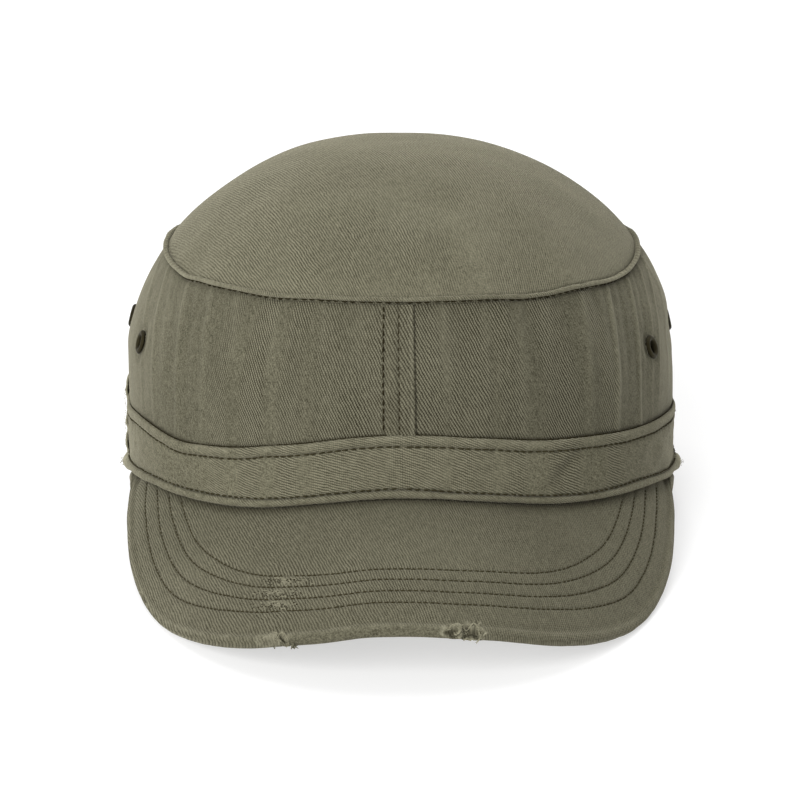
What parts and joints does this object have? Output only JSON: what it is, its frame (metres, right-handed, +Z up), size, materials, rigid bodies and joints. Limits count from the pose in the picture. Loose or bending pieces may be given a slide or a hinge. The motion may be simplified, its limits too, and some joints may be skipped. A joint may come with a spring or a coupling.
{
  "type": "military cap",
  "caption": "Soft olive twill military cap with a domed top, sewn band, four air eyelets and a stiff curved peak; rests on its peak and back edge.",
  "frame": {"origin": "bottom centre of the cap's bounding box, on the surface that it stands on", "axes": "+Z up, the peak towards -Y, the wearer's left towards +X; the cap is tipped back as it stands by itself on the peak's two low corners and on the back of its rolled edge"},
  "size_m": [0.1717, 0.2532, 0.1114],
  "materials": {
    "top_cloth": "washed olive cotton twill",
    "wall_cloth": "washed olive cotton twill",
    "band_cloth": "washed olive cotton twill",
    "peak_cloth": "washed olive cotton twill, worn at its edge",
    "eyelet_metal": "blackened, dull"
  },
  "bodies": {
    "root": {"crown_top": "top_cloth", "rim_ridge": "top_cloth", "wall_panel_right": "wall_cloth", "wall_panel_left": "wall_cloth", "front_seam": "wall_cloth", "back_seam": "wall_cloth", "band": "band_cloth", "rolled_edge": "band_cloth", "side_tab": "band_cloth", "peak": "peak_cloth", "eyelet_right_front": "eyelet_metal", "eyelet_right_rear": "eyelet_metal", "eyelet_left_front": "eyelet_metal", "eyelet_left_rear": "eyelet_metal"}
  },
  "joints": []
}
